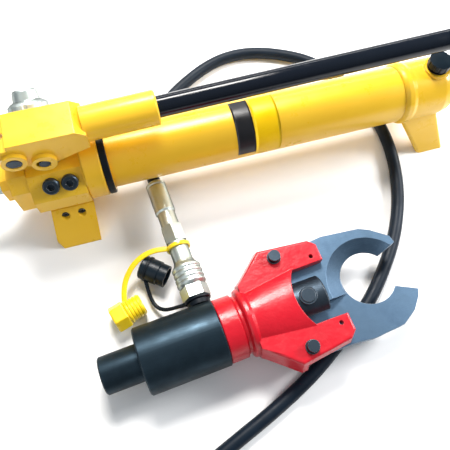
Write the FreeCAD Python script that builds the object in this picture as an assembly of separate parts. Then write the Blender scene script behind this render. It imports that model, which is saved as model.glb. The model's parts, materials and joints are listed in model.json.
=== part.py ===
import FreeCAD, Part
import math
import os

# Split hydraulic cable cutter: a lever hand pump, a hose line with a screw coupler,
# and a cutting head with two pivoting blades.  Millimetres, +Z up.
# Origin: on the floor below the reservoir axis, at the middle of the front foot.
# +X runs along the pump from its outlet end to its filler end.

V = FreeCAD.Vector
X = V(1, 0, 0)
Y = V(0, 1, 0)
Z = V(0, 0, 1)

# ---- hand pump ----
axis_z = 72.5                 # height of the reservoir axis
tube_r = 35.0                 # reservoir outer radius
tube_wall = 3.0
tube_x0 = 60.0                # reservoir tube, front and rear ends
tube_x1 = 440.0
spigot_r = 31.9               # block and end cap reach into the tube with this radius
flange_r = 42.0
label_x0 = 210.0
label_length = 54.0
tie_rod_r = 5.0
suction_z = 52.0              # height of the suction pipe
suction_pipe_r = 5.1
block_x0 = -30.0
block_x1 = 30.0
block_top_z = 104.0
facet_y = 33.0                # middle of the two upper facets of the block
facet_z = 96.0
facet_tilt = 38.2             # facet normal, degrees above horizontal
plug_x = (-6.0, 14.5)         # the two socket plugs on the near facet
outlet_x = -62.0              # front face of the outlet boss
shoulder_x = -50.0            # front face of the wider shoulder behind it
foot_height = 47.0
foot_half_span = 68.5
foot_screw_x = (-6.5, 13.0)
foot_screw_z = 38.0
foot_screw_y = 38.5           # underside of the foot screws' heads
foot_screw_r = 2.5

# ---- lever and plunger ----
pivot_x = -30.0
pivot_z = 140.0
pivot_r = 6.5
pivot_clip_r = 8.0
lug_r = 11.0
lug_half = 11.5
cheek_gap = 12.0              # half distance between the yoke's cheeks
cheek_half = 20.5
boss_half = 25.5
crank_x = 27.72               # horizontal reach from lever pivot to plunger pin
slide_per_rad = 28.86         # plunger travel per radian of lever
half_swing = math.radians(22.5)
plunger_x = pivot_x + crank_x
plunger_pin_z = pivot_z - slide_per_rad * half_swing
plunger_pin_r = 5.5
plunger_tip = plunger_pin_z - 80.67
plunger_step = plunger_pin_z - 62.67    # where the small stage meets the large one
large_bore_r = 12.1
small_bore_r = 6.1
stem_r = 8.5
gland_z = 99.5
lever_r = 11.85
lever_rise = 1.604            # degrees, lever axis above horizontal
lever_ref = (120.0, 149.5)    # a point on the lever axis (x, z)
socket_r = 18.9
socket_x0 = 46.0
socket_x1 = 126.0
lever_x1 = 566.0

# ---- release valve and filler ----
release_x = -12.0
release_bore = 22.0
release_spindle_r = 6.0
filler_x = 473.0
filler_thread_r = 8.0

# ---- cutting head, in its own frame ----
head_at = V(216.44, -220.64, 37.5)
head_yaw = 4.836
barrel_r = 37.4
barrel_x0 = -173.0
barrel_x1 = -82.0
stub_r = 20.7
stub_x0 = -216.0
bore_r = 27.5
rod_r = 16.0
rod_thread_r = 7.0            # reduced end of the rod that carries the piston and its nut
port_x = -93.5
port_seat = 36.3              # flat under the port's seal, from the head's axis
arm_top = 27.0                # top and bottom faces of the arms
arm_bottom = -21.0
arm_draft = 6.0               # how far the arms widen towards their middle plane
hump_r = 37.0
hump_half_width = 50.0        # the hump widens to an oval at the fork
scallop_r = 50.0              # hollow front edge between the arms
scallop_x = 2.0
slot_half = 14.2              # half height of the blade slot
blade_t = 14.0
far_edge = (99.0, 31.5)       # centre x and radius of each blade's cutting edge
near_edge = (101.0, 32.5)
bevel_width = 19.0
blade_gap = 0.05              # each blade's face to the shear plane
blade_pivot_y = 52.5
blade_pin_r = 6.5
ram_pin_x = 19.0
ram_pin_r = 7.9
ram_r = 25.0
clevis_floor = -4.0           # bottom of the ram's slot for the blades' tails
tail_slot_side = 0.5          # side clearance of a tail slot on the ram pin

# ---- coupler and hose ----
coupler_drop = 3.0            # degrees, coupler axis below horizontal
hose_r = 8.0
line_bore_r = 3.0             # oil way through the fittings
port_thread_r = 8.9
port_bore_r = 9.0
stem_top = 10.0               # crest radius of the coupler's threaded stem
hose_start = 165.6            # hose end inside the coupler's ferrule
ferrule_end = 205.0           # distance from the head axis to the end of the ferrule


def rod(radius, start, length, axis=X):
    return Part.makeCylinder(radius, length, start, axis)


def tube(r_in, r_out, start, length, axis=X):
    return rod(r_out, start, length, axis).cut(rod(r_in, start, length, axis))


def box(x0, x1, y0, y1, z0, z1):
    return Part.makeBox(x1 - x0, y1 - y0, z1 - z0, V(x0, y0, z0))


def turned(profile):
    """Solid of revolution about the X axis, from (x, r) points."""
    points = [V(x, 0, r) for x, r in profile]
    points.append(points[0])
    face = Part.Face(Part.makePolygon(points))
    return face.revolve(V(0, 0, 0), X, 360)


def hexagon(across, x0, x1, turn=0):
    """Hexagonal bar along X, given across its flats."""
    radius = across / math.sqrt(3)
    points = []
    for i in range(7):
        a = math.radians(60 * i + turn)
        points.append(V(x0, radius * math.cos(a), radius * math.sin(a)))
    return Part.Face(Part.makePolygon(points)).extrude(V(x1 - x0, 0, 0))


def side_plate(outline, y0, y1):
    """Prism along Y from an outline of (x, z) points."""
    points = [V(x, y0, z) for x, z in outline]
    points.append(points[0])
    return Part.Face(Part.makePolygon(points)).extrude(V(0, y1 - y0, 0))


def section_bar(outline, x0, x1):
    """Prism along X from an outline of (y, z) points."""
    points = [V(x0, y, z) for y, z in outline]
    points.append(points[0])
    return Part.Face(Part.makePolygon(points)).extrude(V(x1 - x0, 0, 0))


def rectangle(x0, x1, y0, y1, z):
    """Level rectangular wire."""
    corners = [V(x0, y0, z), V(x1, y0, z), V(x1, y1, z), V(x0, y1, z)]
    return Part.makePolygon(corners + corners[:1])


def straight_edges(points):
    return [Part.makeLine(a, b) for a, b in zip(points, points[1:])]


def clipped_square(half, clip, x0, x1):
    """Square bar along X with its four corners clipped."""
    near = half - clip
    corners = [(half, near), (near, half), (-near, half), (-half, near)]
    return section_bar(corners + [(-y, -z) for y, z in corners], x0, x1)


def joined(shapes):
    first = shapes[0]
    return first.fuse(shapes[1:]).removeSplitter()


def placed(shape, placement):
    moved = shape.copy()
    moved.Placement = placement.multiply(moved.Placement)
    return moved


def coil(wire_r, mean_r, x0, x1, turns):
    """Coil spring along X between x0 and x1: six short arcs to the turn."""
    low = x0 + wire_r * 1.4
    rise = x1 - x0 - 2.8 * wire_r
    corner_r = mean_r / math.cos(math.radians(30))
    points = []
    last = 6 * turns
    for i in range(last + 1):
        a = math.radians(60 * i)
        r = corner_r if 0 < i < last else mean_r
        points.append(V(low + rise * i / last, r * math.cos(a), r * math.sin(a)))
    return bent_bar(points, wire_r)


def bent_bar(points, radius):
    """Round bar along a polyline whose every corner is rounded as far as its shorter side allows."""
    pieces = []
    here = points[0]
    for before, corner, after in zip(points, points[1:], points[2:]):
        way_in = (corner - before).normalize()
        way_out = (after - corner).normalize()
        reach = min((corner - before).Length, (after - corner).Length) * 0.49
        bend = way_in.getAngle(way_out)
        start = corner - way_in * reach
        if (start - here).Length > 0.01:
            pieces.append(rod(radius, here, (start - here).Length, way_in))
        if bend > 0.001:
            bend_r = reach / math.tan(bend / 2)
            axis = way_in.cross(way_out).normalize()
            centre = start + axis.cross(way_in) * bend_r
            disc = Part.Face(Part.Wire(Part.makeCircle(radius, start, way_in)))
            pieces.append(disc.revolve(centre, axis, math.degrees(bend)))
            here = corner + way_out * reach
        else:
            here = start
    end = points[-1]
    pieces.append(rod(radius, here, (end - here).Length, end - here))
    return pieces[0].fuse(pieces[1:])


def save(name, shape):
    shape.exportStep("parts/%s.step" % name)


pump_axis = FreeCAD.Placement(V(0, 0, axis_z), FreeCAD.Rotation())
head_frame = FreeCAD.Placement(head_at, FreeCAD.Rotation(head_yaw, 0, 0))
coupler_turn = FreeCAD.Rotation(90, coupler_drop, 0)
coupler_frame = head_frame.multiply(FreeCAD.Placement(V(port_x, 0, 0), coupler_turn))
lever_tilt = FreeCAD.Rotation(0, -lever_rise, 0)
lever_frame = FreeCAD.Placement(V(lever_ref[0], 0, lever_ref[1]), lever_tilt)
plunger_line = FreeCAD.Placement(V(plunger_x, 0, 0), FreeCAD.Rotation(Y, -90))


def facet_frame(x, side):
    """Frame whose +X leaves a facet of the block squarely; side is -1 near, +1 far."""
    turn = FreeCAD.Rotation(90 * side, -facet_tilt, 0)
    return FreeCAD.Placement(V(x, side * facet_y, facet_z), turn)


# ---------------------------------------------------------------- hand pump

def block_envelope():
    """Outside of the pump block without its lug and bores."""
    section = [(-22, block_top_z), (-44, 82), (-44, 60), (-22, 34)]
    section += [(-y, z) for y, z in reversed(section)]
    body = section_bar(section, block_x0, block_x1)
    shoulder = placed(clipped_square(33, 14, shoulder_x, block_x0), pump_axis)
    boss = placed(clipped_square(20, 8, outlet_x, shoulder_x), pump_axis)
    round_part = turned([
        (0, 0), (0, 33), (30, 33), (30, flange_r - 1.5), (31.5, flange_r), (50.5, flange_r),
        (52, flange_r - 1.5), (52, 38), (60, 38), (60, spigot_r), (72, spigot_r), (72, 0),
    ])
    return joined([body, shoulder, boss, placed(round_part, pump_axis)])


def pump_block():
    lug = box(pivot_x - lug_r, pivot_x + lug_r, -lug_half, lug_half, 95, pivot_z)
    lug_top = rod(lug_r, V(pivot_x, -lug_half, pivot_z), 2 * lug_half, Y)
    block = joined([block_envelope(), lug, lug_top])
    cuts = [
        rod(pivot_r + 0.05, V(pivot_x, -lug_half, pivot_z), 2 * lug_half, Y),
        rod(large_bore_r, V(plunger_x, 0, 62), 60, Z),
        rod(small_bore_r, V(plunger_x, 0, 44), 30, Z),
        rod(14.05, V(plunger_x, 0, gland_z), 20, Z),
        rod(port_bore_r, V(outlet_x, 0, axis_z), 12),
        rod(5.2, V(-50, 0, axis_z), 17),
        rod(line_bore_r, V(-34, 0, axis_z), 24),
        rod(suction_pipe_r + 0.1, V(30, 0, suction_z), 42),
        rod(2.5, V(2, 0, suction_z), 30),
        placed(rod(release_spindle_r + 0.1, V(-release_bore, 0, 0), 40), facet_frame(release_x, 1)),
    ]
    cuts += [placed(rod(6.6, V(-16, 0, 0), 30), facet_frame(x, -1)) for x in plug_x]
    for side in (-1, 1):
        for x in foot_screw_x:
            cuts.append(rod(foot_screw_r + 0.1, V(x, 39 * side - 22, foot_screw_z), 44, Y))
    cuts.append(rod(tie_rod_r + 0.1, V(44, 0, axis_z), 40))
    return block.cut(cuts)


def foot_shell():
    """Leaning, splayed block between the floor and the pump block, its front corners clipped."""
    high_half = foot_half_span - 30
    low = rectangle(-28.5, 24.5, -foot_half_span, foot_half_span, 0)
    high = rectangle(-21, 30, -high_half, high_half, foot_height)
    shell = Part.makeLoft([low, high], True, True)
    for side in (-1, 1):
        corner = [V(-40, 42.4 * side, 0), V(-40, 80 * side, 0), V(-13, 80 * side, 0)]
        wedge = Part.Face(Part.makePolygon(corner + corner[:1]))
        shell = shell.cut(wedge.extrude(V(0, 0, foot_height)))
    return shell


def front_foot():
    window = section_bar([(-51, 7), (51, 7), (38, 27), (-38, 27)], -60, 60)
    shell = foot_shell().cut(window)
    shell = shell.cut(block_envelope())
    for side in (-1, 1):
        for x in foot_screw_x:
            shank = rod(foot_screw_r + 0.6, V(x, 0, foot_screw_z), 80, Y * side)
            head = rod(4.7, V(x, foot_screw_y * side, foot_screw_z), 40, Y * side)
            shell = shell.cut([shank, head])
    return shell


def foot_screws():
    screws = []
    for side in (-1, 1):
        for x in foot_screw_x:
            head = rod(4.5, V(0, 0, 0), 4)
            shank = rod(foot_screw_r, V(-20, 0, 0), 20)
            screw = joined([head, shank]).cut(hexagon(4, 1.5, 5))
            turn = FreeCAD.Rotation(90 * side, 0, 0)
            seat = V(x, foot_screw_y * side, foot_screw_z)
            screws.append(placed(screw, FreeCAD.Placement(seat, turn)))
    return Part.makeCompound(screws)


def band_seal():
    return placed(turned([(52, 38), (60, 38), (60, 40.5), (59, 41.5), (53, 41.5), (52, 40.5)]), pump_axis)


def reservoir_tube():
    return placed(tube(tube_r - tube_wall, tube_r, V(tube_x0, 0, 0), tube_x1 - tube_x0), pump_axis)


def label_panel():
    """Thin wrap-around name panel; plain, with no lettering."""
    ring = tube(tube_r + 0.02, tube_r + 0.3, V(label_x0, 0, 0), label_length)
    wedge = [V(label_x0, 0, 0)]
    for degrees in (-8, 26, 60, 94, 122):
        a = math.radians(degrees)
        wedge.append(V(label_x0, -80 * math.cos(a), 80 * math.sin(a)))
    keep = Part.Face(Part.makePolygon(wedge + wedge[:1])).extrude(V(label_length, 0, 0))
    return placed(ring.common(keep), pump_axis)


def rear_leg(side):
    """Leg of the end cap, leaning back and outwards, with its outer edges rounded."""
    low = rectangle(465, 504, 43 * side, 56 * side, 0)
    high = rectangle(428, 480, 19 * side, 33 * side, 60)
    leg = Part.makeLoft([low, high], True, True)
    long_edges = [e for e in leg.Edges if abs(e.Vertexes[0].Z - e.Vertexes[1].Z) > 30]
    outer = [e for e in long_edges if abs(e.CenterOfMass.y) > 37]
    return leg.makeFillet(4.0, outer)


def end_cap():
    shell = turned([
        (428, 30), (428, spigot_r), (tube_x1, spigot_r), (tube_x1, tube_r + 0.05),
        (425, tube_r + 0.05), (427, 37), (430, 38.5), (436, 38.5), (441, 36.5), (480, 36.5),
        (491, 34), (499, 28), (504, 18), (504, tie_rod_r + 0.3), (494, tie_rod_r + 0.3), (494, 26), (484, 30),
    ])
    core = placed(rod(35.5, V(420, 0, 0), 66), pump_axis)
    legs = [rear_leg(side).cut(core) for side in (-1, 1)]
    boss = rod(16, V(filler_x, 0, 100), 11, Z).cut(core)
    cap = joined([placed(shell, pump_axis), boss] + legs)
    return cap.cut(rod(filler_thread_r + 0.1, V(filler_x, 0, 95), 40, Z))


def filler_cap():
    thread = rod(filler_thread_r, V(filler_x, 0, 98), 15, Z)
    neck = rod(9.5, V(filler_x, 0, 112.5), 3, Z)
    dome = rod(14, V(filler_x, 0, 115), 8, Z)
    cap = joined([thread, neck, dome])
    for i in range(12):
        a = math.radians(30 * i)
        cap = cap.cut(rod(1.3, V(filler_x + 14.4 * math.cos(a), 14.4 * math.sin(a), 112), 12, Z))
    return cap


def filler_gasket():
    return tube(filler_thread_r + 0.1, 13, V(filler_x, 0, 111), 1.4, Z)


def tie_rod():
    return placed(rod(tie_rod_r, V(45, 0, 0), 467), pump_axis)


def tie_nut():
    nut = hexagon(17, 504, 512).cut(rod(tie_rod_r + 0.05, V(500, 0, 0), 20))
    return placed(nut, pump_axis)


def suction_pipe():
    return tube(line_bore_r, suction_pipe_r, V(42, 0, suction_z), 58)


def suction_filter():
    body = tube(suction_pipe_r + 0.1, 9, V(76, 0, suction_z), 26)
    end = rod(9, V(102, 0, suction_z), 3)
    return joined([body, end])


def check_balls():
    outlet_ball = Part.makeSphere(5, V(-38, 0, axis_z))
    suction_ball = Part.makeSphere(5, V(36, 0, suction_z))
    return Part.makeCompound([outlet_ball, suction_ball])


def check_spring():
    return placed(coil(0.7, 3.9, -49.5, -43.6, 3), pump_axis)


def socket_plug():
    """Round-headed plug with a hexagon socket, its head seated at x = 0."""
    body = turned([(-14, 0), (-14, 5.5), (-13, 6.5), (0, 6.5), (0, 9.3), (4.5, 9.3), (6, 8), (6, 0)])
    return body.cut(hexagon(8, 1.5, 7))


def facet_plugs():
    return Part.makeCompound([placed(socket_plug(), facet_frame(x, -1)) for x in plug_x])


def plunger():
    small_r = small_bore_r - 0.1
    large_r = large_bore_r - 0.1
    body = turned([
        (plunger_tip, 0), (plunger_tip, small_r), (plunger_step, small_r), (plunger_step, large_r),
        (plunger_step + 3, large_r), (plunger_step + 3, 10), (plunger_step + 7, 10),
        (plunger_step + 7, large_r), (plunger_step + 10, large_r), (plunger_step + 10, stem_r),
        (plunger_pin_z - 6, stem_r), (plunger_pin_z - 6, 0),
    ])
    eye = rod(9.5, V(plunger_x, -9.8, plunger_pin_z), 19.6, Y)
    stem = placed(body, plunger_line)
    return joined([stem, eye]).cut(rod(plunger_pin_r, V(plunger_x, -10, plunger_pin_z), 20, Y))


def plunger_seal():
    ring = tube(10, large_bore_r - 0.05, V(plunger_step + 3.1, 0, 0), 3.8)
    return placed(ring, plunger_line)


def plunger_gland():
    return tube(stem_r + 0.05, 14.0, V(plunger_x, 0, gland_z), 7.5, Z)


def plunger_pin():
    return rod(plunger_pin_r - 0.02, V(plunger_x, -25.4, plunger_pin_z), 50.8, Y)


def yoke_outline():
    return [
        (-31, 164), (38, 164), (48, 156), (48, 134), (26, 127), (6, 119), (-12, 119),
        (-30, 130), (-43, 144), (-43, 157), (-31, 157),
    ]


def lever_yoke():
    shapes = [side_plate(yoke_outline(), -cheek_half, cheek_half)]
    for x, z in ((pivot_x, pivot_z), (plunger_x, plunger_pin_z)):
        shapes.append(rod(13, V(x, -boss_half, z), 2 * boss_half, Y))
    socket = turned([
        (socket_x0 - lever_ref[0], 0), (socket_x0 - lever_ref[0], socket_r),
        (socket_x1 - 1.5 - lever_ref[0], socket_r), (socket_x1 - lever_ref[0], socket_r - 1.5),
        (socket_x1 - lever_ref[0], 0),
    ])
    shapes.append(placed(socket, lever_frame))
    yoke = joined(shapes)
    slot_centre = FreeCAD.Placement(V(pivot_x, 0, pivot_z), FreeCAD.Rotation(0, 22.5, 0))
    width = plunger_pin_r + 0.4
    near_r = crank_x - 0.4
    far_r = crank_x / math.cos(half_swing) + 0.5
    slot = joined([
        rod(width, V(near_r, -30, 0), 60, Y),
        rod(width, V(far_r, -30, 0), 60, Y),
        box(near_r, far_r, -30, 30, -width, width),
    ])
    cuts = [
        box(-70, 24, -cheek_gap, cheek_gap, 90, 153),
        rod(pivot_r + 0.05, V(pivot_x, -30, pivot_z), 60, Y),
        rod(pivot_clip_r + 0.1, V(pivot_x, -30, pivot_z), 6, Y),
        rod(pivot_clip_r + 0.1, V(pivot_x, 24, pivot_z), 6, Y),
        placed(slot, slot_centre),
        placed(rod(lever_r + 0.05, V(58 - lever_ref[0], 0, 0), 90), lever_frame),
        rod(4, V(-37, 0, 145), 20, Z),
        placed(rod(4.1, V(100 - lever_ref[0], 0, -30), 28, Z), lever_frame),
    ]
    return yoke.cut(cuts)


def pivot_pin():
    pin = rod(pivot_r, V(pivot_x, -boss_half, pivot_z), 2 * boss_half, Y)
    for y in (-25, 24):
        pin = pin.cut(tube(pivot_r - 1, pivot_r + 1, V(pivot_x, y, pivot_z), 1, Y))
    return pin


def pivot_clips():
    clips = []
    for y in (-24.95, 24.05):
        clip = tube(pivot_r - 0.9, pivot_clip_r, V(pivot_x, y, pivot_z), 0.9, Y)
        clips.append(clip.cut(box(pivot_x - 3, pivot_x + 3, -30, 30, pivot_z - 14, pivot_z)))
    return Part.makeCompound(clips)


def lever_tube():
    start = 58.5 - lever_ref[0]
    length = lever_x1 - 58.5
    return placed(tube(lever_r - 2.5, lever_r, V(start, 0, 0), length), lever_frame)


def lever_plug():
    start = lever_x1 - lever_ref[0]
    plug = turned([
        (start - 20, 0), (start - 20, 9.2), (start, 9.2), (start, lever_r), (start + 4, lever_r),
        (start + 6, lever_r - 2), (start + 6, 0),
    ])
    return placed(plug, lever_frame)


def lever_screw():
    screw = rod(4.0, V(100 - lever_ref[0], 0, -20.5), 8.5, Z)
    socket = Part.makeCylinder(2, 4, V(100 - lever_ref[0], 0, -20.5), Z)
    return placed(screw.cut(socket), lever_frame)


def release_knob():
    knob = turned([
        (27, 0), (27, 19), (30, 22.5), (37, 22.5), (40, 19), (42, 15), (52, 13.5), (54, 11.5), (54, 0),
    ])
    for i in range(8):
        a = math.radians(45 * i)
        knob = knob.cut(rod(4, V(25, 25.5 * math.cos(a), 25.5 * math.sin(a)), 16))
    knob = knob.cut(rod(4.0, V(26, 0, 0), 16))
    return placed(knob, facet_frame(release_x, 1))


def release_spindle():
    spindle = turned([
        (-20, 0), (-17, 3), (-12, 3), (-11, release_spindle_r), (12, release_spindle_r), (12, 5),
        (26, 5), (26, 3.98), (41, 3.98), (41, 0),
    ])
    return placed(spindle, facet_frame(release_x, 1))


def release_gland():
    gland = hexagon(22, 0, 9).cut(rod(release_spindle_r + 0.06, V(-1, 0, 0), 12))
    return placed(gland, facet_frame(release_x, 1))


# ---------------------------------------------------------------- hose line

def outlet_adapter():
    body = joined([
        rod(port_thread_r, V(outlet_x, 0, 0), 11.5), hexagon(27, outlet_x - 12, outlet_x),
        rod(9, V(outlet_x - 20, 0, 0), 8),
    ])
    return placed(body.cut(rod(4, V(outlet_x - 20, 0, 0), 40)), pump_axis)


def pump_swivel_nut():
    nut = hexagon(24, outlet_x - 32, outlet_x - 12.2)
    nut = nut.cut(rod(9.05, V(outlet_x - 26, 0, 0), 20))
    return placed(nut.cut(rod(6.1, V(outlet_x - 40, 0, 0), 40)), pump_axis)


def ferrule(x0, x1, r_nose, r_body):
    """Crimped sleeve with a smooth nose, open for the hose at x1."""
    third = x0 + (x1 - x0) * 0.32
    body = turned([
        (x0, 0), (x0, r_nose), (third - 1, r_nose), (third + 1, r_body), (x1 - 7, r_body),
        (x1 - 6, r_body - 1), (x1 - 5, r_body - 1), (x1 - 4, r_body), (x1 - 1, r_body),
        (x1, r_body - 1), (x1, 0),
    ])
    return body.cut(rod(hose_r + 0.05, V(third + 3, 0, 0), x1 - third))


def pump_ferrule():
    body = ferrule(32.2, 75, 10.5, 12.4)
    nipple = rod(6, V(26, 0, 0), 8)
    body = joined([body, nipple]).cut(rod(line_bore_r, V(20, 0, 0), 25))
    flip = FreeCAD.Placement(V(outlet_x, 0, axis_z), FreeCAD.Rotation(180, 0, 0))
    return placed(body, flip)


def coupler_base():
    """Adapter screwed into the head: hexagon with a threaded stem each side."""
    stem = rod(stem_top, V(60, 0, 0), 14)
    body = joined([rod(port_thread_r, V(24, 0, 0), 22), hexagon(29, 46, 60), stem])
    return placed(body.cut(rod(line_bore_r, V(20, 0, 0), 60)), coupler_frame)


def coupler_collar():
    profile = [(60.5, stem_top + 0.2), (60.5, 14.5)]
    for i in range(4):
        x0 = 62.5 + 6.2 * i
        profile += [(x0, 16.2), (x0 + 1.5, 17.2), (x0 + 3.5, 17.2), (x0 + 5, 16.2)]
    profile += [(90, 13.2), (93, 12.2), (93, 11.7), (76, 11.7), (76, stem_top + 0.2)]
    return placed(turned(profile), coupler_frame)


def coupler_body():
    body = joined([rod(11.6, V(76.2, 0, 0), 42.8), hexagon(24, 119, 141, 30)])
    return placed(body.cut(rod(line_bore_r + 0.2, V(70, 0, 0), 80)), coupler_frame)


def coupler_ferrule():
    body = ferrule(141.2, ferrule_end, 11, 12.4)
    return placed(body.cut(rod(line_bore_r, V(130, 0, 0), 30)), coupler_frame)


def hose_points():
    """Centre line from the coupler ferrule, under the reservoir, round to the pump outlet."""
    start = coupler_frame.multVec(V(hose_start, 0, 0))
    leave = coupler_frame.multVec(V(ferrule_end + 31, 0, 0))
    floor = [
        (142, 102), (172, 127), (210, 150), (242, 163.5), (279, 166.5), (315, 158), (349, 142),
        (372, 127), (399, 94), (421, 46), (431, -7), (427, -56), (412, -111), (383, -164),
        (354, -199), (319, -235.5), (273, -266), (227, -295), (193, -311), (160, -325),
        (130, -336), (80, -356), (0, -385), (-90, -376), (-168, -318), (-212, -228),
    ]
    points = [start, leave, V(112, 45, 16)]
    points += [V(x, y, hose_r + 0.1) for x, y in floor]
    points += [V(-232, -135, 12), V(-232, -58, 40), V(-205, -8, 68)]
    points += [V(-172, 0, axis_z), V(-112, 0, axis_z)]
    return points


def hydraulic_hose():
    return bent_bar(hose_points(), hose_r)


yellow_cap_at = V(32.2, -174.6, 15.7)
yellow_cap_yaw = 17.0
yellow_frame = FreeCAD.Placement(yellow_cap_at, FreeCAD.Rotation(yellow_cap_yaw, 0, 0))
black_cap_at = V(79.3, -132.3, 14.9)
black_frame = FreeCAD.Placement(black_cap_at, FreeCAD.Rotation(-38.7, 0, 0))


def yellow_cap():
    ribs = [(6, 0), (6, 11.0), (10, 11.0), (10, 12)]
    for i in range(4):
        x0 = 10.5 + 3.9 * i
        ribs += [(x0, 13.2), (x0 + 2.2, 13.2), (x0 + 3, 12.2)]
    ribs += [(26.5, 11.5), (26.5, 0)]
    grip = hexagon(28.5, -11.5, 6)
    grip = grip.makeFillet(2.2, grip.Edges)
    return placed(joined([grip, turned(ribs)]), yellow_frame)


def yellow_strap():
    ring = placed(tube(11.7, 14.6, V(110.5, 0, 0), 5), coupler_frame)
    eye = placed(tube(11.1, 14.2, V(6.2, 0, 0), 3.6), yellow_frame)
    band = bent_bar([
        V(101, -115.4, 34), V(90, -112.8, 33.5), V(78.8, -112.2, 32), V(62.2, -117.4, 29),
        V(47.5, -129.5, 23), V(39.6, -144.5, 18), V(37.3, -157.5, 15.7), V(37.3, -162, 15.7),
    ], 2.4)
    clear = [
        placed(rod(11.7, V(100, 0, 0), 30), coupler_frame),
        placed(rod(11.1, V(0, 0, 0), 20), yellow_frame),
        placed(rod(17, V(-12, 0, 0), 18.2), yellow_frame),
        placed(rod(13.6, V(9.8, 0, 0), 20), yellow_frame),
    ]
    return joined([ring, band.cut(clear), eye])


def black_cap():
    body = turned([
        (-16.5, 0), (-16.5, 13), (-15, 14.5), (6, 14.5), (7, 13.5), (16.5, 13.5), (16.5, 10.8),
        (4, 10.8), (4, 0),
    ])
    groove = tube(12.5, 16, V(-10, 0, 0), 3.6)
    return placed(body.cut(groove), black_frame)


def black_strap():
    ring = placed(tube(9.1, 15.5, V(42, 0, 0), 3.8), coupler_frame)
    eye = placed(tube(12.6, 15.5, V(-9.9, 0, 0), 3.4), black_frame)
    band = bent_bar([
        V(66.5, -137.5, 15.4), V(67, -147, 12), V(67, -160, 9), V(69.5, -173, 8),
        V(78.5, -181.3, 11), V(94, -184, 24), V(105, -186.3, 34),
    ], 2.0)
    clear = [
        placed(rod(9.1, V(30, 0, 0), 30), coupler_frame),
        placed(rod(18, V(45.9, 0, 0), 20), coupler_frame),
        placed(rod(15.05, V(-30, 0, 0), 60), black_frame),
    ]
    return joined([ring, band.cut(clear), eye])


# ---------------------------------------------------------------- cutting head

def barrel():
    body = turned([
        (barrel_x0, bore_r), (barrel_x0, barrel_r - 1.5), (barrel_x0 + 1.5, barrel_r),
        (barrel_x1 - 1, barrel_r), (barrel_x1, barrel_r - 1), (barrel_x1, 28), (-60, 28),
        (-60, rod_r + 0.05), (-70, rod_r + 0.05), (-70, rod_r + 3), (-75, rod_r + 3),
        (-75, rod_r + 0.05), (-104, rod_r + 0.05), (-104, bore_r),
    ])
    feed = rod(2.5, V(-105, 22.5, 0), 13)
    seat = placed(rod(15, V(port_seat, 0, 0), 10), coupler_frame)
    port = placed(rod(port_bore_r, V(23.8, 0, 0), 30), coupler_frame)
    return placed(body.cut(feed), head_frame).cut([seat, port])


def rear_cap():
    return placed(turned([
        (stub_x0, 0), (stub_x0, 19.2), (stub_x0 + 1.5, stub_r), (barrel_x0, stub_r), (barrel_x0, 27.45),
        (-157, 27.45), (-157, 16.5), (-209, 16.5), (-209, 0),
    ]), head_frame)


def piston():
    return placed(turned([
        (-125, rod_thread_r), (-125, 27.4), (-118, 27.4), (-118, 24), (-113, 24), (-113, 27.4),
        (-105, 27.4), (-105, rod_thread_r),
    ]), head_frame)


def piston_seal():
    return placed(tube(24, 27.48, V(-117.9, 0, 0), 4.8), head_frame)


def rod_seal():
    return placed(tube(rod_r + 0.02, rod_r + 3, V(-74.9, 0, 0), 4.8), head_frame)


def piston_rod():
    return placed(turned([
        (-136, 0), (-136, rod_thread_r - 0.05), (-105, rod_thread_r - 0.05), (-105, rod_r),
        (-36, rod_r), (-36, 11.95), (-10, 11.95), (-10, 0),
    ]), head_frame)


def piston_nut():
    nut = hexagon(19, -133, -125).cut(rod(rod_thread_r, V(-140, 0, 0), 20))
    return placed(nut, head_frame)


def return_spring():
    return placed(coil(1.8, 14.0, -208.9, -125.1, 9), head_frame)


def ram_clevis():
    body = turned([
        (-36, 12), (-36, ram_r - 1), (-35, ram_r), (39, ram_r), (41, ram_r - 2), (41, 0),
        (-9, 0), (-9, 12),
    ])
    slot = box(clevis_floor, 60, -40, 40, -slot_half - 0.3, slot_half + 0.3)
    hole = rod(ram_pin_r + 0.02, V(ram_pin_x, 0, -40), 80, Z)
    return placed(body.cut([slot, hole]), head_frame)


def ram_pin():
    pin = rod(ram_pin_r, V(ram_pin_x, 0, -27.5), 55, Z)
    return placed(pin, head_frame)


def ram_pin_clips():
    clips = []
    for z in (-26.4, 25.4):
        clips.append(tube(ram_pin_r + 0.01, ram_pin_r + 2.2, V(ram_pin_x, 0, z), 1, Z))
    return placed(Part.makeCompound(clips), head_frame)


def arm_outline(side, grow, z):
    """Half of the fork seen from above, its outer edges moved out by `grow`; side is +1 or -1 in y."""
    outer = [(-50, 36), (-45, 39.5), (-15, 65.5), (44, 58.5), (52, 51)]
    inner = [(52, 32.5), (16, 31.5), (11, 29.5), (11, 0)]
    points = [V(-50, 0, z)]
    points += [V(x, (y + grow) * side, z) for x, y in outer]
    points += [V(x, y * side, z) for x, y in inner]
    return points


def fork_plate():
    """Flat fork, widest at its middle plane, with its top and bottom edges rounded."""
    halves = []
    for side in (-1, 1):
        loops = []
        for grow, z in ((0, arm_bottom), (arm_draft, 0), (0, arm_top)):
            points = arm_outline(side, grow, z)
            loops.append(Part.makePolygon(points + points[:1]))
        halves += [Part.makeLoft(loops[:2], True, True), Part.makeLoft(loops[1:], True, True)]
    plate = joined(halves)
    rounded = []
    for edge in plate.Edges:
        c = edge.CenterOfMass
        flat = min(abs(c.z - arm_top), abs(c.z - arm_bottom)) < 0.01
        if flat and (abs(c.y) > 45 or c.x > 51):
            rounded.append(edge)
    return plate.makeFillet(3.0, rounded)


def hump():
    """Round at the neck and a wide oval at the fork, cut back by the scallop between the arms."""
    neck = Part.Wire(Part.makeCircle(hump_r, V(-50, 0, 0), X))
    oval = Part.Ellipse(V(18, hump_half_width, 0), V(18, 0, hump_r), V(18, 0, 0))
    return Part.makeLoft([neck, Part.Wire(oval.toShape())], True, True)


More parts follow.
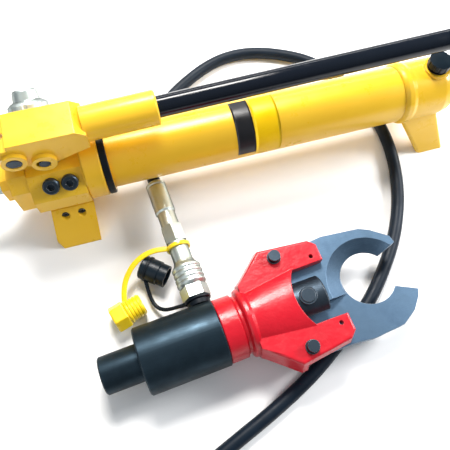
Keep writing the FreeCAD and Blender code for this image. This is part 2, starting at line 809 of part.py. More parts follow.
def head_yoke():
    neck = turned([
        (-82, 0), (-82, 35), (-81, 36), (-62, 36), (-60, 33), (-57, 33), (-55, 38), (-53, 39), (-49, 39),
        (-46, hump_r), (-40, 36), (-40, 0),
    ])
    bore = turned([
        (-83, 0), (-83, 28.05), (-59, 28.05), (-59, ram_r + 0.1), (-16, ram_r + 0.1), (-14, 29.5),
        (60, 29.5), (60, 0),
    ])
    scallop = rod(scallop_r, V(scallop_x + scallop_r, 0, -60), 120, Z)
    slope = scallop.common(box(-10, 30, -32, 32, -60, 60))
    yoke = joined([fork_plate().cut(slope), hump().cut(scallop), neck])
    cuts = [bore]
    for start, reach in ((-14.5, 58), (-8, 90)):
        cuts.append(box(start, 80, -reach, reach, -slot_half, slot_half))
    for side in (-1, 1):
        y = side * blade_pivot_y
        cuts.append(rod(14.3, V(0, y, -slot_half), 2 * slot_half, Z))
        cuts.append(rod(blade_pin_r + 0.05, V(0, y, -40), 80, Z))
        cuts.append(rod(2.4, V(40, side * 39.8, -60), 120, Z))
    return placed(yoke.cut(cuts), head_frame)


def blade_outline(side):
    """Closed outline of a blade seen from above; side is +1 for the far blade, -1 for the near one."""
    if side > 0:
        edge_x, edge_r = far_edge
        back = [(50, 60), (64.6, 61.3), (111, 55.3), (123, 49.6), (142, 34.3), (143.7, 25.6)]
    else:
        edge_x, edge_r = near_edge
        back = [(55, 63), (78.7, 65.7), (115, 63.4), (134, 53), (146, 40), (150, 32)]
    on_edge = []
    for degrees in (40, 110, 195):
        a = math.radians(degrees)
        on_edge.append(V(edge_x + edge_r * math.cos(a), side * (edge_r * math.sin(a) - 1), 0))
    tip, crown, heel = on_edge
    outer = [V(x, side * y, 0) for x, y in [(-13, 48), (-12, 55), (-8, 60.5), (0, 62)] + back]
    tail = [V(x, side * y, 0) for x, y in [(46, -11), (24, -12.5), (9, -8.5), (6, 4)]]
    rear = [V(x, side * y, 0) for x, y in [(7, 24), (2, 34)]]
    edges = straight_edges(outer + [tip])
    edges.append(Part.Arc(tip, crown, heel).toShape())
    edges += straight_edges([heel] + tail[:2])
    edges.append(Part.Arc(tail[1], tail[2], tail[3]).toShape())
    edges += straight_edges([tail[3]] + rear + [outer[0]])
    return Part.Wire(edges)


def edge_bevel(side):
    """Slanted cone that grinds the cutting edge from the shear plane out to the blade's face."""
    edge_x, edge_r = far_edge if side > 0 else near_edge
    on_shear = V(edge_x, -side, side * blade_gap)
    on_face = V(edge_x - 2.5, -4.5 * side, side * (blade_t + 0.5))
    inner = Part.makeCircle(edge_r, on_shear, Z)
    outer = Part.makeCircle(edge_r + bevel_width, on_face, Z)
    return Part.makeLoft([Part.Wire(inner), Part.Wire(outer)], True, True)


def tail_slot(side):
    """Slot in which the ram's pin slides as the blade turns about its pivot."""
    reach = math.hypot(ram_pin_x, blade_pivot_y)
    turn = -side * math.degrees(math.atan2(blade_pivot_y, ram_pin_x))
    width = ram_pin_r + tail_slot_side
    near_r = blade_pivot_y - 0.4
    far_r = reach + 0.5
    slot = joined([
        rod(width, V(near_r, 0, -30), 60, Z),
        rod(width, V(far_r, 0, -30), 60, Z),
        box(near_r, far_r, -width, width, -30, 30),
    ])
    return placed(slot, FreeCAD.Placement(V(0, side * blade_pivot_y, 0), FreeCAD.Rotation(turn, 0, 0)))


def blade(side):
    body = Part.Face(blade_outline(side)).extrude(V(0, 0, blade_t - blade_gap))
    body.translate(V(0, 0, blade_gap if side > 0 else -blade_t))
    pivot = rod(blade_pin_r + 0.08, V(0, side * blade_pivot_y, -30), 60, Z)
    return placed(body.cut([edge_bevel(side), pivot, tail_slot(side)]), head_frame)


def blade_pins():
    pins = []
    for side in (-1, 1):
        pins.append(rod(blade_pin_r, V(0, side * blade_pivot_y, arm_bottom - 3.5), 60, Z))
    return placed(Part.makeCompound(pins), head_frame)


def pin_rings():
    rings = []
    for side in (-1, 1):
        for z in (arm_bottom - 1.6, arm_top + 0.1):
            at = V(0, side * blade_pivot_y, z)
            rings.append(tube(blade_pin_r + 0.02, blade_pin_r + 1.2, at, 1.5, Z))
    return placed(Part.makeCompound(rings), head_frame)


def blade_spacers():
    upper = tube(blade_pin_r + 0.1, 9.4, V(0, -blade_pivot_y, 0.1), slot_half - 0.2, Z)
    lower = tube(blade_pin_r + 0.1, 9.4, V(0, blade_pivot_y, -slot_half + 0.1), slot_half - 0.2, Z)
    return placed(Part.makeCompound([upper, lower]), head_frame)


def port_seal():
    return placed(tube(9.05, 13.5, V(port_seat, 0, 0), 5.2), coupler_frame)


nodes = {
    "pump_block": pump_block,
    "front_foot": front_foot,
    "foot_screws": foot_screws,
    "band_seal": band_seal,
    "reservoir_tube": reservoir_tube,
    "label_panel": label_panel,
    "end_cap": end_cap,
    "filler_cap": filler_cap,
    "filler_gasket": filler_gasket,
    "tie_rod": tie_rod,
    "tie_nut": tie_nut,
    "suction_pipe": suction_pipe,
    "suction_filter": suction_filter,
    "check_balls": check_balls,
    "check_spring": check_spring,
    "facet_plugs": facet_plugs,
    "plunger": plunger,
    "plunger_seal": plunger_seal,
    "plunger_gland": plunger_gland,
    "plunger_pin": plunger_pin,
    "lever_yoke": lever_yoke,
    "pivot_pin": pivot_pin,
    "pivot_clips": pivot_clips,
    "lever_tube": lever_tube,
    "lever_plug": lever_plug,
    "lever_screw": lever_screw,
    "release_knob": release_knob,
    "release_spindle": release_spindle,
    "release_gland": release_gland,
    "outlet_adapter": outlet_adapter,
    "pump_swivel_nut": pump_swivel_nut,
    "pump_ferrule": pump_ferrule,
    "hydraulic_hose": hydraulic_hose,
    "coupler_base": coupler_base,
    "coupler_collar": coupler_collar,
    "coupler_body": coupler_body,
    "coupler_ferrule": coupler_ferrule,
    "port_seal": port_seal,
    "yellow_cap": yellow_cap,
    "yellow_strap": yellow_strap,
    "black_cap": black_cap,
    "black_strap": black_strap,
    "barrel": barrel,
    "rear_cap": rear_cap,
    "piston": piston,
    "piston_seal": piston_seal,
    "rod_seal": rod_seal,
    "piston_rod": piston_rod,
    "piston_nut": piston_nut,
    "return_spring": return_spring,
    "ram_clevis": ram_clevis,
    "ram_pin": ram_pin,
    "ram_pin_clips": ram_pin_clips,
    "head_yoke": head_yoke,
    "upper_blade": lambda: blade(1),
    "lower_blade": lambda: blade(-1),
    "blade_pins": blade_pins,
    "pin_rings": pin_rings,
    "blade_spacers": blade_spacers,
}

os.makedirs("parts", exist_ok=True)
for name, make in nodes.items():
    shape = make()
    if not shape.isValid():
        print("not valid:", name)
    save(name, shape)
    print(name, len(shape.Solids), round(shape.Volume))
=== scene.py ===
import json
import math

import bpy
from mathutils import Matrix, Vector


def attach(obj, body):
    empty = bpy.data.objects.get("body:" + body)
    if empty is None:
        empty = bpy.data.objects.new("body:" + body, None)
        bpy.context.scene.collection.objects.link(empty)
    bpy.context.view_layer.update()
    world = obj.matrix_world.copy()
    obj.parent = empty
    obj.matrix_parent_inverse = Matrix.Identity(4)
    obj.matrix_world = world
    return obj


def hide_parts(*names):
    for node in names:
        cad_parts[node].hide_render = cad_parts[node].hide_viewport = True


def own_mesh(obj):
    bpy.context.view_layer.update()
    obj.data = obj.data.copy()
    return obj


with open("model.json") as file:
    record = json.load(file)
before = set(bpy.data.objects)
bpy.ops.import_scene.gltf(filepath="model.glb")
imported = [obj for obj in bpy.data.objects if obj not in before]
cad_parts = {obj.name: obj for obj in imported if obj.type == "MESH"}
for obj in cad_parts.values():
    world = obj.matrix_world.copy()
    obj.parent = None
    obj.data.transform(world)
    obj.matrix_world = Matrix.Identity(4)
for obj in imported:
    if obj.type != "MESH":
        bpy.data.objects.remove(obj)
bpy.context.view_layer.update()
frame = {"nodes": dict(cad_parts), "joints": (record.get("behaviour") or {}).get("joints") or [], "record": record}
nodes = frame["nodes"]
MM = 0.001


# ------------------------------------------------------------------ materials

def new_material(name):
    """Empty node material with one principled shader."""
    material = bpy.data.materials.new(name)
    material.use_nodes = True
    tree = material.node_tree
    tree.nodes.clear()
    output = tree.nodes.new("ShaderNodeOutputMaterial")
    shader = tree.nodes.new("ShaderNodeBsdfPrincipled")
    tree.links.new(shader.outputs[0], output.inputs[0])
    return material, tree, shader


def place(tree, stretch=(1, 1, 1), turn=(0, 0, 0)):
    """Row-frame coordinates in metres, optionally stretched and turned."""
    coordinate = tree.nodes.new("ShaderNodeTexCoord")
    mapping = tree.nodes.new("ShaderNodeMapping")
    mapping.inputs["Scale"].default_value = stretch
    mapping.inputs["Rotation"].default_value = turn
    tree.links.new(coordinate.outputs["Object"], mapping.inputs[0])
    return mapping.outputs[0]


def noise(tree, where, scale, detail, rough=0.55):
    """Fractal noise from 0 to 1; a larger scale gives a finer grain."""
    texture = tree.nodes.new("ShaderNodeTexNoise")
    texture.inputs["Scale"].default_value = scale
    texture.inputs["Detail"].default_value = detail
    texture.inputs["Roughness"].default_value = rough
    tree.links.new(where, texture.inputs["Vector"])
    return texture.outputs["Fac"]


def ramp(tree, value, low, high, start=0.0, end=1.0):
    """Maps low..high of value to start..end, clamped."""
    node = tree.nodes.new("ShaderNodeMapRange")
    node.inputs["From Min"].default_value = low
    node.inputs["From Max"].default_value = high
    node.inputs["To Min"].default_value = start
    node.inputs["To Max"].default_value = end
    tree.links.new(value, node.inputs["Value"])
    return node.outputs[0]


def math_node(tree, kind, a, b):
    """One operation on two sockets or numbers."""
    node = tree.nodes.new("ShaderNodeMath")
    node.operation = kind
    for socket, value in zip(node.inputs, (a, b)):
        if isinstance(value, (int, float)):
            socket.default_value = value
        else:
            tree.links.new(value, socket)
    return node.outputs[0]


def mix(tree, factor, a, b):
    """Blend of two colours or colour sockets."""
    node = tree.nodes.new("ShaderNodeMix")
    node.data_type = "RGBA"
    tree.links.new(factor, node.inputs[0])
    for socket, value in zip((node.inputs[6], node.inputs[7]), (a, b)):
        if isinstance(value, tuple):
            socket.default_value = (*value, 1)
        else:
            tree.links.new(value, socket)
    return node.outputs[2]


def soft_normal(tree, radius):
    """Normal that reads as if the edges were rounded by the radius."""
    bevel = tree.nodes.new("ShaderNodeBevel")
    bevel.samples = 6
    bevel.inputs["Radius"].default_value = radius
    return bevel.outputs[0]


def edge_mask(tree, radius, sharpness):
    """1 on outside and inside edges, 0 on open faces."""
    rounded = soft_normal(tree, radius)
    geometry = tree.nodes.new("ShaderNodeNewGeometry")
    dot = tree.nodes.new("ShaderNodeVectorMath")
    dot.operation = "DOT_PRODUCT"
    tree.links.new(rounded, dot.inputs[0])
    tree.links.new(geometry.outputs["Normal"], dot.inputs[1])
    return ramp(tree, dot.outputs["Value"], 1.0 - sharpness, 0.995, 1.0, 0.0)


def bump(tree, height, strength, distance, normal):
    node = tree.nodes.new("ShaderNodeBump")
    node.inputs["Strength"].default_value = strength
    node.inputs["Distance"].default_value = distance
    tree.links.new(height, node.inputs["Height"])
    tree.links.new(normal, node.inputs["Normal"])
    return node.outputs[0]


def enamel(name, light, dark, worn, rough, coat, shine, wear=0.5, peel_height=0.06, ripple=0.6):
    """Sprayed gloss paint over cast or drawn metal: orange peel, faint mottling, rubbed edges."""
    material, tree, shader = new_material(name)
    where = place(tree)
    clouds = noise(tree, where, 9, 3)
    colour = mix(tree, ramp(tree, clouds, 0.3, 0.75, 0, 0.6), light, dark)
    specks = noise(tree, where, 1100, 2)
    colour = mix(tree, ramp(tree, specks, 0.68, 0.8, 0, 0.2), colour, dark)
    breakup = noise(tree, where, 160, 6, 0.7)
    edges = edge_mask(tree, 0.9 * MM, 0.25)
    worn_mask = math_node(tree, "MULTIPLY", edges, ramp(tree, breakup, 0.5, 0.62, 0, wear))
    tree.links.new(mix(tree, worn_mask, colour, worn), shader.inputs["Base Color"])
    smudge = noise(tree, where, 45, 6, 0.65)
    gloss = ramp(tree, smudge, 0.3, 0.75, rough - 0.06, rough + 0.12)
    gloss = math_node(tree, "ADD", gloss, math_node(tree, "MULTIPLY", worn_mask, 0.25))
    tree.links.new(gloss, shader.inputs["Roughness"])
    tree.links.new(math_node(tree, "MULTIPLY", worn_mask, 0.7), shader.inputs["Metallic"])
    shader.inputs["Specular IOR Level"].default_value = shine
    shader.inputs["Coat Weight"].default_value = coat
    shader.inputs["Coat Roughness"].default_value = 0.12
    waves = math_node(tree, "MULTIPLY", noise(tree, where, 95, 2, 0.5), ripple * 3)
    peel = math_node(tree, "ADD", noise(tree, where, 330, 3, 0.6), waves)
    soft = soft_normal(tree, 1.4 * MM)
    tree.links.new(bump(tree, peel, peel_height, 0.4 * MM, soft), shader.inputs["Normal"])
    return material


def metal(name, light, dark, rough, grain=(1, 1, 1), turn=(0, 0, 0), edge=0.5, scratch=0.1, oil=0.12,
          bright=(0.6, 0.62, 0.64), metallic=1.0, rim=1.0):
    """Machined or coated metal: directional tool marks, stains, brighter edges; below rim 1, painted shade darkens
    the flanks seen edge-on.
    """
    material, tree, shader = new_material(name)
    where = place(tree)
    marks = noise(tree, place(tree, grain, turn), 900, 3, 0.6)
    stains = noise(tree, where, 38, 6, 0.6)
    colour = mix(tree, ramp(tree, stains, 0.3, 0.75), light, dark)
    colour = mix(tree, ramp(tree, marks, 0.4, 0.75, 0, 0.35), colour, dark)
    edges = edge_mask(tree, 0.7 * MM, 0.3)
    breakup = noise(tree, where, 220, 5, 0.7)
    edges = math_node(tree, "MULTIPLY", edges, ramp(tree, breakup, 0.35, 0.65, 0.15, 0.8))
    colour = mix(tree, edges, colour, bright)
    # painted shade: the base colour darkens towards near black on faces seen edge-on, by up to 1 - rim
    facing = tree.nodes.new("ShaderNodeLayerWeight")
    facing.inputs["Blend"].default_value = 0.5
    painted_flank_shade = ramp(tree, facing.outputs["Facing"], 0.35, 0.95, 0, 1 - rim)
    tree.links.new(mix(tree, painted_flank_shade, colour, (0.03, 0.035, 0.03)), shader.inputs["Base Color"])
    shader.inputs["Specular Tint"].default_value = (rim, rim, rim, 1)
    shader.inputs["Metallic"].default_value = metallic
    base = ramp(tree, stains, 0.3, 0.8, rough - oil / 2, rough + oil)
    gloss = math_node(tree, "ADD", base, ramp(tree, marks, 0.3, 0.8, 0, oil))
    tree.links.new(gloss, shader.inputs["Roughness"])
    relief = bump(tree, marks, scratch, 0.15 * MM, soft_normal(tree, edge * MM))
    tree.links.new(relief, shader.inputs["Normal"])
    return material


def polymer(name, light, dark, rough, grain_scale, relief, coat=0.0, shine=0.5):
    """Rubber or moulded plastic: fine grain, dust and slight bloom."""
    material, tree, shader = new_material(name)
    where = place(tree)
    clouds = noise(tree, where, 30, 5)
    colour = mix(tree, ramp(tree, clouds, 0.35, 0.7), light, dark)
    edges = edge_mask(tree, 0.8 * MM, 0.3)
    lifted = tuple(min(1.0, c * 1.25 + 0.012) for c in light)
    edges = math_node(tree, "MULTIPLY", edges, 0.5)
    tree.links.new(mix(tree, edges, colour, lifted), shader.inputs["Base Color"])
    bloom = noise(tree, where, 70, 5, 0.7)
    gloss = ramp(tree, bloom, 0.3, 0.75, rough - 0.08, rough + 0.12)
    tree.links.new(gloss, shader.inputs["Roughness"])
    shader.inputs["Specular IOR Level"].default_value = shine
    shader.inputs["Coat Weight"].default_value = coat
    shader.inputs["Coat Roughness"].default_value = 0.15
    grain = noise(tree, where, grain_scale, 3)
    surface = bump(tree, grain, relief, 0.2 * MM, soft_normal(tree, 0.6 * MM))
    tree.links.new(surface, shader.inputs["Normal"])
    return material


HEAD_YAW = math.radians(4.836)

yellow = enamel("yellow_enamel", (0.88, 0.535, 0.026), (0.80, 0.44, 0.014), (0.25, 0.22, 0.18),
                rough=0.30, coat=0.12, shine=0.38)
red = enamel("red_enamel", (0.55, 0.005, 0.018), (0.36, 0.003, 0.009), (0.30, 0.27, 0.26),
             rough=0.33, peel_height=0.42, coat=0.12, shine=0.36, ripple=1.0)
lever_black = enamel("lever_enamel", (0.002, 0.004, 0.009), (0.004, 0.007, 0.012), (0.18, 0.18, 0.19),
                     rough=0.12, wear=0.35, peel_height=0.03, coat=0.05, shine=0.32)
black_oxide = metal("black_oxide", (0.022, 0.040, 0.056), (0.010, 0.020, 0.029), 0.33, (0.04, 1, 1),
                    (0, 0, -HEAD_YAW), edge=0.8, bright=(0.22, 0.26, 0.30), metallic=0.75, rim=0.6)
blade_steel = metal("blade_steel", (0.125, 0.205, 0.30), (0.060, 0.105, 0.165), 0.34, (0.12, 1.0, 1),
                    (0, 0, -HEAD_YAW), edge=0.5, bright=(0.5, 0.53, 0.56), metallic=0.9)
dark_steel = metal("dark_steel", (0.050, 0.072, 0.096), (0.020, 0.030, 0.042), 0.33, edge=0.6,
                   metallic=0.85)
nickel = metal("nickel", (0.74, 0.82, 0.80), (0.60, 0.67, 0.63), 0.36, edge=0.5, scratch=0.05,
               oil=0.08, bright=(0.85, 0.88, 0.88), rim=0.30)
bright_steel = metal("bright_steel", (0.60, 0.64, 0.67), (0.42, 0.46, 0.48), 0.28, edge=0.4, rim=0.6)
black_rubber = polymer("black_rubber", (0.002, 0.005, 0.009), (0.004, 0.008, 0.013), 0.42, 900, 0.18,
                       shine=0.18)
black_plastic = polymer("black_plastic", (0.002, 0.007, 0.013), (0.004, 0.012, 0.020), 0.34, 600, 0.1,
                        shine=0.22)
hose_rubber = polymer("hose_rubber", (0.003, 0.008, 0.016), (0.006, 0.013, 0.024), 0.46, 1100, 0.25,
                      shine=0.18)
label_film = polymer("label_film", (0.006, 0.006, 0.008), (0.010, 0.010, 0.012), 0.34, 200, 0.03,
                     shine=0.35)
label_yellow = polymer("label_yellow", (0.90, 0.56, 0.000), (0.84, 0.50, 0.000), 0.34, 200, 0.03,
                       shine=0.25)
yellow_plastic = polymer("yellow_plastic", (0.88, 0.66, 0.010), (0.80, 0.55, 0.008), 0.30, 350, 0.06,
                         coat=0.2)

slot_material = {
    "yellow_paint": yellow,
    "red_paint": red,
    "black_oxide": black_oxide,
    "blade_steel": blade_steel,
    "nickel": nickel,
    "dark_steel": dark_steel,
    "bright_steel": bright_steel,
    "lever_black": lever_black,
    "black_rubber": black_rubber,
    "yellow_plastic": yellow_plastic,
    "black_plastic": black_plastic,
    "label": black_plastic,
}
for part in frame["record"]["subparts"]:
    piece = nodes[part["node"]]
    piece.data.materials.clear()
    piece.data.materials.append(slot_material[part["material_slot"]])


# ------------------------------------------------------------------ mesh tools

BEND_POINTS = 8                   # steps on each rounded corner of a path
EASING_PASSES = 30
RING_SEGMENTS = 64
CORNER_STEPS = 4                  # on each eased corner of a ring's profile


def rounded_path(corners, step):
    """Evenly spaced points along a polyline with rounded corners, eased so that bends build up gently."""
    dense = [Vector(corners[0])]
    for before, corner, after in zip(corners, corners[1:], corners[2:]):
        before, corner, after = Vector(before), Vector(corner), Vector(after)
        reach = min((corner - before).length, (after - corner).length) * 0.49
        start = corner + (before - corner).normalized() * reach
        end = corner + (after - corner).normalized() * reach
        for i in range(BEND_POINTS + 1):
            t = i / BEND_POINTS
            dense.append(start * (1 - t) ** 2 + corner * 2 * t * (1 - t) + end * t ** 2)
    dense.append(Vector(corners[-1]))
    lengths = [0.0]
    for a, b in zip(dense, dense[1:]):
        lengths.append(lengths[-1] + (b - a).length)
    count = max(8, round(lengths[-1] / step))
    points = []
    index = 0
    for i in range(count + 1):
        at = lengths[-1] * i / count
        while index < len(dense) - 2 and lengths[index + 1] < at:
            index += 1
        share = (at - lengths[index]) / max(1e-9, lengths[index + 1] - lengths[index])
        points.append(dense[index].lerp(dense[index + 1], min(1.0, max(0.0, share))))
    for _ in range(EASING_PASSES):
        eased = [a * 0.25 + b * 0.5 + c * 0.25 for a, b, c in zip(points, points[1:], points[2:])]
        points = [points[0]] + eased + [points[-1]]
    return points


def carried_frames(points, side):
    """The (side, up) pair at each point, turned as little as possible from one to the next."""
    frames = []
    side = Vector(side)
    for i in range(len(points)):
        ahead = points[min(i + 1, len(points) - 1)] - points[max(i - 1, 0)]
        ahead.normalize()
        side = (side - ahead * side.dot(ahead)).normalized()
        frames.append((side.copy(), ahead.cross(side)))
    return frames


def new_piece(name, vertices, faces, material, body):
    """Smooth-shaded piece from vertices in mm, riding on a body."""
    mesh = bpy.data.meshes.new(name)
    mesh.from_pydata([v * MM for v in vertices], [], faces)
    mesh.validate()
    mesh.materials.append(material)
    mesh.polygons.foreach_set("use_smooth", [True] * len(mesh.polygons))
    piece = bpy.data.objects.new(name, mesh)
    bpy.context.scene.collection.objects.link(piece)
    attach(piece, body)
    return piece


def swept_mesh(points, section, side=(0, 0, 1)):
    """Vertices and faces of a bar with the given (side, up) section along the points, closed at both ends."""
    vertices = []
    faces = []
    count = len(section)
    for point, (across, up) in zip(points, carried_frames(points, side)):
        vertices += [point + across * s + up * u for s, u in section]
    for i in range(len(points) - 1):
        for j in range(count):
            a = i * count + j
            b = i * count + (j + 1) % count
            faces.append((a, b, b + count, a + count))
    faces.append(tuple(reversed(range(count))))
    faces.append(tuple(range(len(vertices) - count, len(vertices))))
    return vertices, faces


def oval(half_side, half_up, count, power=1.0):
    """Section points of an oval; a power below 1 squares it off."""
    points = []
    for i in range(count):
        a = 2 * math.pi * i / count
        c, s = math.cos(a), math.sin(a)
        across = half_side * math.copysign(abs(c) ** power, c)
        points.append((across, half_up * math.copysign(abs(s) ** power, s)))
    return points


def lathed_mesh(profile, origin, axis):
    """Vertices and faces of a ring turned about an axis, from a closed (along, radius) profile in mm."""
    axis = Vector(axis).normalized()
    origin = Vector(origin)
    side = axis.orthogonal().normalized()
    up = axis.cross(side)
    vertices = []
    faces = []
    count = len(profile)
    for i in range(RING_SEGMENTS):
        a = 2 * math.pi * i / RING_SEGMENTS
        spoke = side * math.cos(a) + up * math.sin(a)
        vertices += [origin + axis * along + spoke * radius for along, radius in profile]
    for i in range(RING_SEGMENTS):
        row = i * count
        next_row = ((i + 1) % RING_SEGMENTS) * count
        for j in range(count):
            after = (j + 1) % count
            faces.append((row + j, row + after, next_row + after, next_row + j))
    return vertices, faces


def rounded_ring(width, r_in, r_out, ease):
    """Closed profile of a ring whose corners are eased."""
    profile = []
    corners = [
        (ease, r_in + ease, 180), (width - ease, r_in + ease, 270),
        (width - ease, r_out - ease, 0), (ease, r_out - ease, 90),
    ]
    for x, r, start in corners:
        for i in range(CORNER_STEPS + 1):
            a = math.radians(start + 90 * i / CORNER_STEPS)
            profile.append((x + ease * math.cos(a), r + ease * math.sin(a)))
    return profile


def merged(parts):
    """Vertices and faces of several meshes as one."""
    vertices = []
    faces = []
    for part_vertices, part_faces in parts:
        base = len(vertices)
        vertices += part_vertices
        faces += [tuple(base + index for index in face) for face in part_faces]
    return vertices, faces


joints = {joint["name"]: joint for joint in frame["joints"]}


def joint_place(name, along):
    """Point on a joint's axis, at a distance in mm from the joint's own place, and the axis."""
    axis = Vector(joints[name]["axis"]).normalized()
    return Vector(joints[name]["pos_m"]) / MM + axis * along, axis


# ------------------------------------------------------------------ hose and tethers

HOSE_RADIUS = 8.0
HOSE_STEP = 3.0                   # between the rings of points along the hose
BAND_STEP = 2.0                   # and along the tethers' bands
HOSE_HEIGHT = 8.1                 # centre of the hose where it lies on the floor
HOSE_IN_FERRULE = 90.6            # distance from the collar's joint to the hose's hidden end
HOSE_BEND = 161.0                 # and to its first bend
PUMP_AXIS_Z = 72.5
HOSE_FLOOR = [
    (142, 102), (172, 127), (210, 150), (242, 163.5), (279, 166.5), (315, 158), (349, 142),
    (372, 127), (399, 94), (421, 46), (431, -7), (427, -56), (412, -111), (383, -164),
    (354, -199), (319, -235.5), (273, -266), (227, -295), (193, -311), (160, -325),
    (130, -336), (80, -356), (0, -385), (-90, -376), (-168, -318), (-212, -228),
]
HOSE_RISE = [(-232, -135, 12), (-232, -58, 40), (-205, -8, 68)]


def make_hose():
    """From the coupler's ferrule, under the reservoir, round the head and up to the pump's outlet."""
    start = joint_place("collar_turn", HOSE_IN_FERRULE)[0]
    leave = joint_place("collar_turn", HOSE_BEND)[0]
    corners = [start, leave, (112, 45, 16)]
    corners += [(x, y, HOSE_HEIGHT) for x, y in HOSE_FLOOR]
    corners += HOSE_RISE
    corners += [(-172, 0, PUMP_AXIS_Z), (-112, 0, PUMP_AXIS_Z)]
    vertices, faces = swept_mesh(rounded_path(corners, HOSE_STEP), oval(HOSE_RADIUS, HOSE_RADIUS, 40))
    hose = new_piece("hose_cover", vertices, faces, hose_rubber, "set")
    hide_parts("hydraulic_hose")


def make_yellow_tether():
    """Flat band from a ring on the coupler's body to an eye on the cap."""
    centre, axis = joint_place("yellow_tether_swing", -2.5)
    ring = lathed_mesh(rounded_ring(5, 11.7, 14.6, 1.2), centre, axis)
    cap, cap_axis = joint_place("yellow_cap_turn", 6.2)
    eye = lathed_mesh(rounded_ring(3.6, 11.1, 14.2, 1.0), cap, cap_axis)
    corners = [
        (101, -115.4, 34), (90, -112.8, 33.5), (78.8, -112.2, 32), (62.2, -117.4, 29),
        (47.5, -129.5, 23), (39.6, -144.5, 18), (37.3, -157.5, 16.5), (37.3, -161.5, 15.7),
    ]
    band = swept_mesh(rounded_path(corners, BAND_STEP), oval(3.3, 1.3, 24, 0.6), side=(0, 1, 0))
    vertices, faces = merged([ring, eye, band])
    tether = new_piece("yellow_tether_band", vertices, faces, yellow_plastic,
                       "yellow_tether")
    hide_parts("yellow_strap")


def make_black_tether():
    """Round-edged band from a ring under the coupler to an eye in the cap's groove."""
    base, axis = joint_place("collar_turn", -33.0)
    ring = lathed_mesh(rounded_ring(3.8, 9.1, 15.5, 1.0), base, axis)
    cap, cap_axis = joint_place("black_cap_turn", -9.9)
    eye = lathed_mesh(rounded_ring(3.4, 12.6, 15.5, 0.8), cap, cap_axis)
    corners = [
        (66.5, -138.5, 15.4), (67, -147, 12), (67, -160, 9), (69.5, -173, 8),
        (78.5, -181.3, 11), (94, -184, 24), (106, -186.6, 35),
    ]
    band = swept_mesh(rounded_path(corners, BAND_STEP), oval(2.3, 1.6, 24, 0.7), side=(1, 0, 0))
    vertices, faces = merged([ring, eye, band])
    tether = new_piece("black_tether_band", vertices, faces, black_rubber, "set")
    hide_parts("black_strap")


# ------------------------------------------------------------------ return spring

HEAD_ORIGIN = Vector((216.44, -220.64, 37.5))
SPRING_START = -208.9             # along the head's axis, at the rear cap
SPRING_END = -125.1               # at the piston
SPRING_WIRE = 1.8                 # radius of the wire
SPRING_MEAN = 14.0                # radius of the coil's centre line
SPRING_TURNS = 9
TURN_POINTS = 24


def make_return_spring():
    """Coil with a closed turn at each end, built at one fixed length; the real spring shortens towards the rear
    cap as the ram is drawn back.
    """
    along = Vector((math.cos(HEAD_YAW), math.sin(HEAD_YAW), 0))
    across = Vector((-math.sin(HEAD_YAW), math.cos(HEAD_YAW), 0))
    up = Vector((0, 0, 1))
    first = SPRING_START + SPRING_WIRE
    closed_length = 6 * SPRING_WIRE                # two closed turns and the wire's own thickness
    open_length = SPRING_END - SPRING_START - closed_length
    open_pitch = open_length / (SPRING_TURNS - 2)
    points = []
    for i in range(TURN_POINTS * SPRING_TURNS + 1):
        turn = i / TURN_POINTS
        closed = min(turn, 1) + max(0, turn - SPRING_TURNS + 1)
        x = first + 2 * SPRING_WIRE * closed + open_pitch * (turn - closed)
        a = 2 * math.pi * turn
        spoke = across * math.cos(a) + up * math.sin(a)
        points.append(HEAD_ORIGIN + along * x + spoke * SPRING_MEAN)
    vertices, faces = swept_mesh(points, oval(SPRING_WIRE, SPRING_WIRE, 14), side=along)
    spring = new_piece("return_spring_coil", vertices, faces, bright_steel, "set")
    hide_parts("return_spring")
    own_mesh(spring)


# ------------------------------------------------------------------ name panel without lettering

LABEL_RADIUS = 35.12
FILM = 0.16                       # thickness of the film
LABEL_COLUMNS = 10
LABEL_ROWS = 64
LABEL_TOP = 120                   # upper edge, in degrees above the near side


def curved_panel(x0, x1, low, high):
    """Closed thin panel wrapped round the reservoir between two angles above the near side, in degrees."""
    vertices = []
    for r in (LABEL_RADIUS, LABEL_RADIUS + FILM):
        for i in range(LABEL_COLUMNS + 1):
            x = x0 + (x1 - x0) * i / LABEL_COLUMNS
            for j in range(LABEL_ROWS + 1):
                a = math.radians(low + (high - low) * j / LABEL_ROWS)
                vertices.append(Vector((x, -r * math.cos(a), PUMP_AXIS_Z + r * math.sin(a))))
    row = LABEL_ROWS + 1
    layer = (LABEL_COLUMNS + 1) * row
    faces = []
    for i in range(LABEL_COLUMNS):
        for j in range(LABEL_ROWS):
            a = i * row + j
            quad = (a, a + 1, a + row + 1, a + row)
            faces.append(tuple(layer + k for k in quad))
            faces.append(tuple(reversed(quad)))
        low_edge = i * row
        high_edge = low_edge + LABEL_ROWS
        faces.append((low_edge, low_edge + row, layer + low_edge + row, layer + low_edge))
        faces.append((layer + high_edge, layer + high_edge + row, high_edge + row, high_edge))
    for j in range(LABEL_ROWS):
        last = LABEL_COLUMNS * row + j
        faces.append((j, layer + j, layer + j + 1, j + 1))
        faces.append((last + 1, layer + last + 1, layer + last, last))
    return vertices, faces


def make_label():
    """Two plain wrap-around film panels: a dark one and a bright yellow one."""
    panels = [
        ("label_dark_panel", 210, 232, -2, label_film),
        ("label_bright_panel", 232.6, 264, -9, label_yellow),
    ]
    for name, x0, x1, low, material in panels:
        vertices, faces = curved_panel(x0, x1, low, LABEL_TOP)
        piece = new_piece(name, vertices, faces, material, "set")
        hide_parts("label_panel")


make_hose()
make_yellow_tether()
make_black_tether()
make_label()
make_return_spring()


# ------------------------------------------------------------------ stage

FLOOR_HALF = 12.0                 # metres
CAMERA_AT = Vector((92.7, -329.3, 598.0))
CAMERA_AZIMUTH = 20.02            # degrees, from +Y towards +X
CAMERA_ELEVATION = 66.93          # downwards
CAMERA_ROLL = 4.47
CAMERA_LENS = 40.49               # for a sensor 36 mm wide


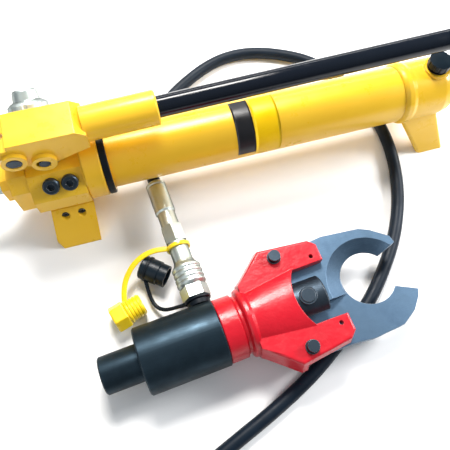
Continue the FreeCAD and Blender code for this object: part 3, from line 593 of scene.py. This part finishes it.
def make_floor():
    mesh = bpy.data.meshes.new("floor")
    half = FLOOR_HALF
    corners = [(-half, -half, 0), (half, -half, 0), (half, half, 0), (-half, half, 0)]
    mesh.from_pydata([Vector(c) for c in corners], [], [(0, 1, 2, 3)])
    floor = bpy.data.objects.new("floor", mesh)
    bpy.context.scene.collection.objects.link(floor)
    material, tree, shader = new_material("pale_floor")
    shader.inputs["Base Color"].default_value = (0.93, 0.93, 0.93, 1)
    shader.inputs["Roughness"].default_value = 0.7
    mesh.materials.append(material)


def area_light(name, at, towards, size, power, colour=(1, 1, 1), length=None):
    """Square light, or a strip if a length is given; places and sizes in metres."""
    data = bpy.data.lights.new(name, "AREA")
    if length is None:
        data.size = size
    else:
        data.shape = "RECTANGLE"
        data.size = length
        data.size_y = size
    data.energy = power
    data.color = colour
    light = bpy.data.objects.new(name, data)
    bpy.context.scene.collection.objects.link(light)
    light.location = at
    light.rotation_euler = (Vector(towards) - Vector(at)).to_track_quat("-Z", "Y").to_euler()


def set_world():
    """Soft sky that is greyer near the horizon."""
    world = bpy.data.worlds.new("studio")
    bpy.context.scene.world = world
    world.use_nodes = True
    tree = world.node_tree
    background = tree.nodes["Background"]
    coordinate = tree.nodes.new("ShaderNodeTexCoord")
    split = tree.nodes.new("ShaderNodeSeparateXYZ")
    tree.links.new(coordinate.outputs["Generated"], split.inputs[0])
    blend = ramp(tree, split.outputs["Z"], -0.1, 0.9)
    tree.links.new(mix(tree, blend, (0.30, 0.32, 0.35), (0.85, 0.93, 1.0)), background.inputs["Color"])
    background.inputs["Strength"].default_value = 0.42


def make_camera():
    """Looks down at the set from its front, head side, slightly rolled."""
    azimuth = math.radians(CAMERA_AZIMUTH)
    elevation = math.radians(CAMERA_ELEVATION)
    roll = math.radians(CAMERA_ROLL)
    level_part = math.cos(elevation)
    ahead = Vector((math.sin(azimuth) * level_part, math.cos(azimuth) * level_part, -math.sin(elevation)))
    level = Vector((math.cos(azimuth), -math.sin(azimuth), 0))
    upright = level.cross(ahead)
    right = level * math.cos(roll) + upright * math.sin(roll)
    up = upright * math.cos(roll) - level * math.sin(roll)
    data = bpy.data.cameras.new("camera")
    data.sensor_width = 36.0
    data.lens = CAMERA_LENS
    data.clip_end = 20.0
    camera = bpy.data.objects.new("camera", data)
    bpy.context.scene.collection.objects.link(camera)
    turn = Matrix((right, up, -ahead)).transposed().to_4x4()
    camera.matrix_world = Matrix.Translation(CAMERA_AT * MM) @ turn
    bpy.context.scene.camera = camera


make_floor()
set_world()
area_light("key", at=(0.30, 0.85, 1.45), towards=(0.15, -0.05, 0.0), size=0.55, power=46,
           colour=(1.0, 0.97, 0.93))
area_light("side", at=(1.4, 0.0, 0.8), towards=(0.15, -0.1, 0.05), size=0.5, power=22)
area_light("strip", at=(0.30, 1.5, 0.75), towards=(0.20, 0.0, 0.1), size=0.12, power=9, length=2.4)
area_light("fill", at=(-1.0, -1.1, 1.3), towards=(0.1, -0.1, 0.0), size=1.4, power=6)
make_camera()
bpy.context.scene.view_settings.view_transform = "Standard"
